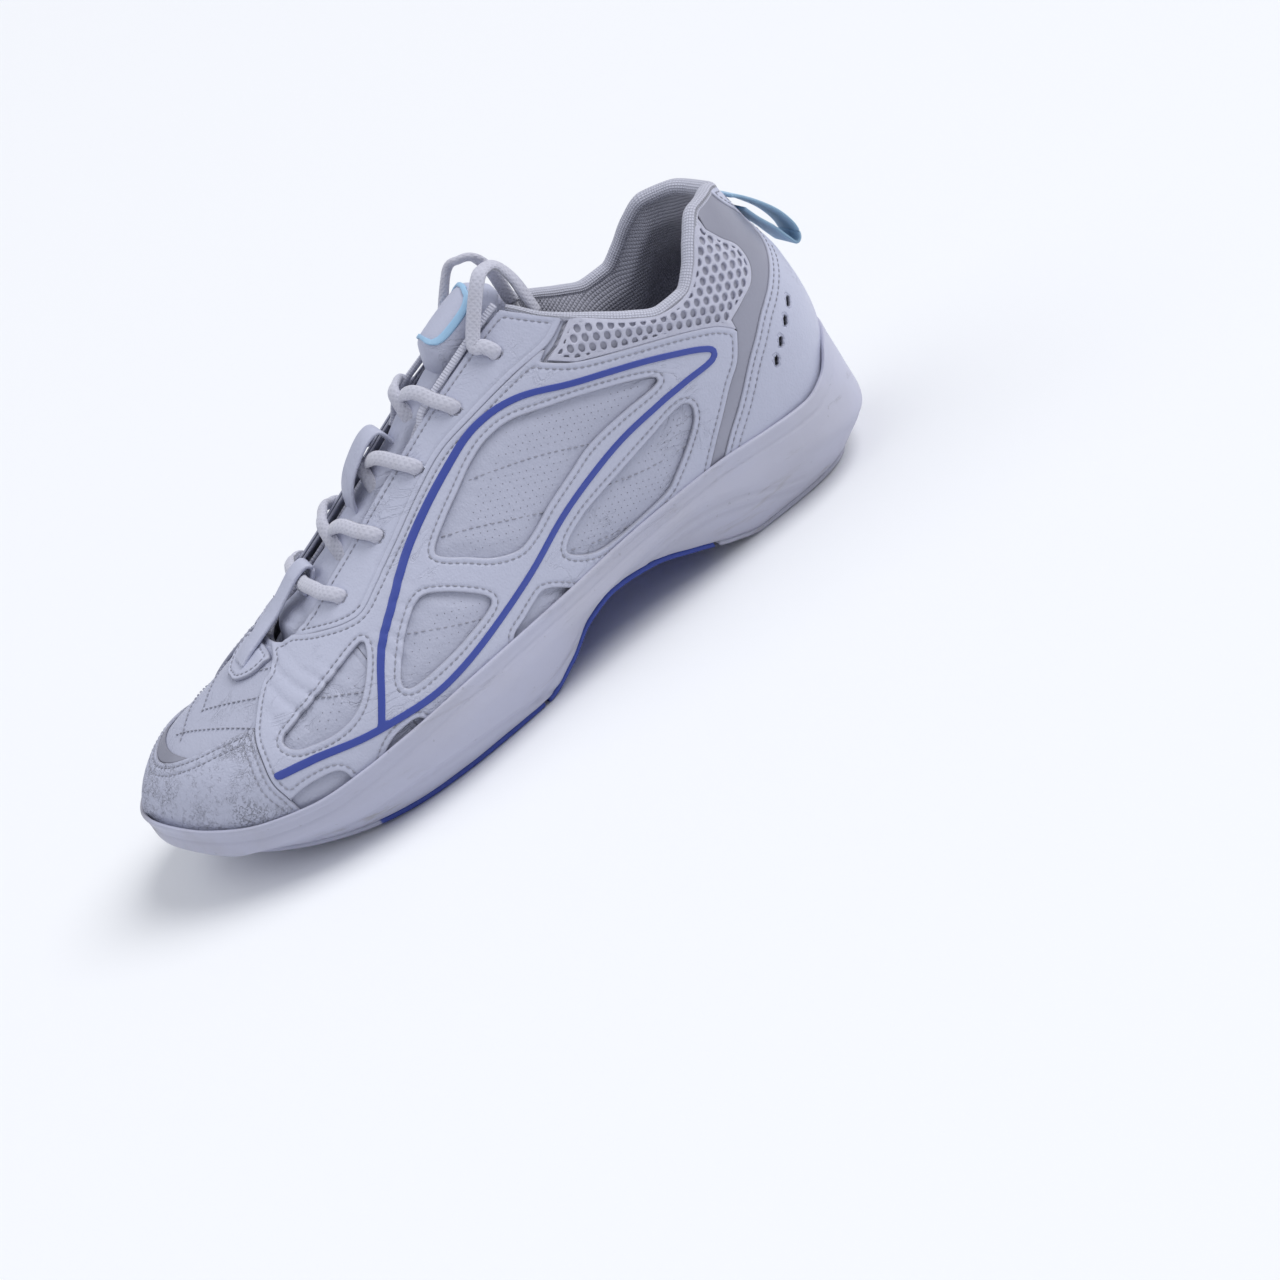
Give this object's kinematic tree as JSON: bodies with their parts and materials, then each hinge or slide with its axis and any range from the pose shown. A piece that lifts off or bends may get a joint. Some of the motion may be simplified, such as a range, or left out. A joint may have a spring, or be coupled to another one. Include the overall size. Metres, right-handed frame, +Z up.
{
  "type": "bowling shoe",
  "caption": "Low lace-up bowling shoe for the left foot with a layered leather upper, padded mesh collar, curved side stripes and a flat slide sole with a raised arch.",
  "frame": {"origin": "middle of the shoe's plan, on the ground that its sole stands on", "axes": "-X towards the toe, -Y towards the outer side of the left foot, +Z up"},
  "size_m": [0.2868, 0.1038, 0.1208],
  "materials": {
    "upper_leather": "smooth pale leather with fine grain, creased at the toe break",
    "underlay_leather": "pale leather with fine punched perforations",
    "coated_toe": "pitted and cracked coated leather",
    "silver_trim": "satin silver-grey coated leather",
    "collar_mesh": "open spacer mesh",
    "lining": "woven textile, worn",
    "stripe": "satin blue coated leather",
    "sky_trim": "light blue woven tape and coated badge",
    "sole_rubber": "matt moulded rubber, scuffed",
    "slide_pad": "matt blue pad",
    "fibre_board": "matt fibre board",
    "foam": "soft open-cell foam",
    "shank_steel": "plain steel",
    "lace_cord": "soft round braid"
  },
  "bodies": {
    "shoe": {"midsole": "sole_rubber", "slide_sole": "slide_pad", "arch_plate": "slide_pad", "heel_rubber": "sole_rubber", "shank": "shank_steel", "insole_board": "fibre_board", "footbed": "lining", "lining": "lining", "toe_puff": "fibre_board", "heel_counter": "fibre_board", "collar_foam": "foam", "vamp": "underlay_leather", "toe_cap": "coated_toe", "toe_accent": "silver_trim", "heel_foxing": "upper_leather", "keeper_base": "upper_leather", "lace_keeper": "upper_leather", "lace": "lace_cord", "lace_tip_inner": "lace_cord", "lace_tip_outer": "lace_cord", "collar_binding": "lining", "quarter_outer": "underlay_leather", "eyestay_outer": "upper_leather", "quarter_overlay_outer": "upper_leather", "vamp_wing_outer": "upper_leather", "collar_mesh_outer": "collar_mesh", "silver_strip_outer": "silver_trim", "side_stripe_outer": "stripe", "quarter_inner": "underlay_leather", "eyestay_inner": "upper_leather", "quarter_overlay_inner": "upper_leather", "vamp_wing_inner": "upper_leather", "collar_mesh_inner": "collar_mesh", "silver_strip_inner": "silver_trim", "side_stripe_inner": "stripe"},
    "tongue": {"tongue": "upper_leather", "tongue_lining": "lining", "tongue_pad": "upper_leather", "tongue_badge": "sky_trim", "tongue_keeper": "upper_leather"},
    "pull_tab": {"pull_tab": "sky_trim"}
  },
  "joints": [
    {"name": "tongue_hinge", "type": "hinge", "parent": "shoe", "child": "tongue", "pos_m": [-0.07295, 0.0035, 0.05], "axis": [0, 1, 0], "range_deg": [0, 2.6]},
    {"name": "pull_tab_hinge", "type": "hinge", "parent": "shoe", "child": "pull_tab", "pos_m": [0.12815, 0.0015, 0.0952], "axis": [0, -1, 0], "range_deg": [0, 60]}
  ]
}
